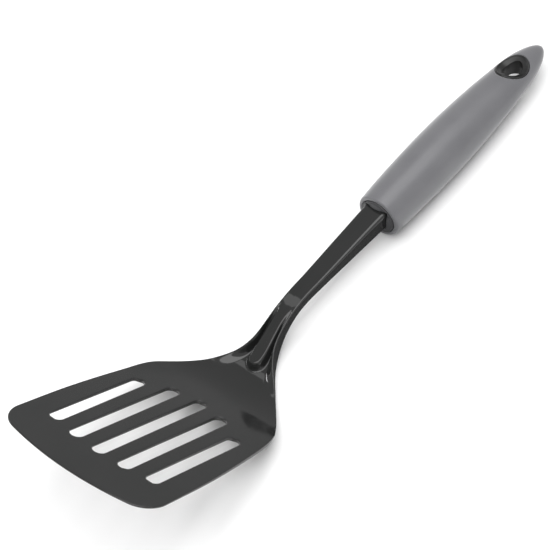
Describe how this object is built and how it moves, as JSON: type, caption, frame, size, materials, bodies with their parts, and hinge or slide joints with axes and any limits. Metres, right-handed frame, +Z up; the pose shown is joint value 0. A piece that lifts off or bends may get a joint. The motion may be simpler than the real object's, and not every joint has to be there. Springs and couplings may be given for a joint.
{
  "type": "slotted turner",
  "caption": "Slotted kitchen turner: fan-shaped black nylon blade on a ribbed, cranked neck, with a grey soft-grip handle and a lined hang hole.",
  "frame": {"origin": "on the surface the turner lies on, under the middle of the whole object's box", "axes": "+X from the blade to the handle, +Y to the blade's left, +Z up; the turner rests on its heel and its grip"},
  "size_m": [0.34, 0.0892, 0.0606],
  "materials": {
    "black_nylon": "satin moulded nylon, smoother in the heel",
    "black_core": "moulded polypropylene",
    "grey_soft_grip": "matt soft-touch elastomer",
    "black_liner": "smooth moulded polypropylene"
  },
  "bodies": {
    "root": {"turner_head": "black_nylon", "handle_core": "black_core", "soft_grip": "grey_soft_grip", "hang_eyelet": "black_liner"}
  },
  "joints": []
}
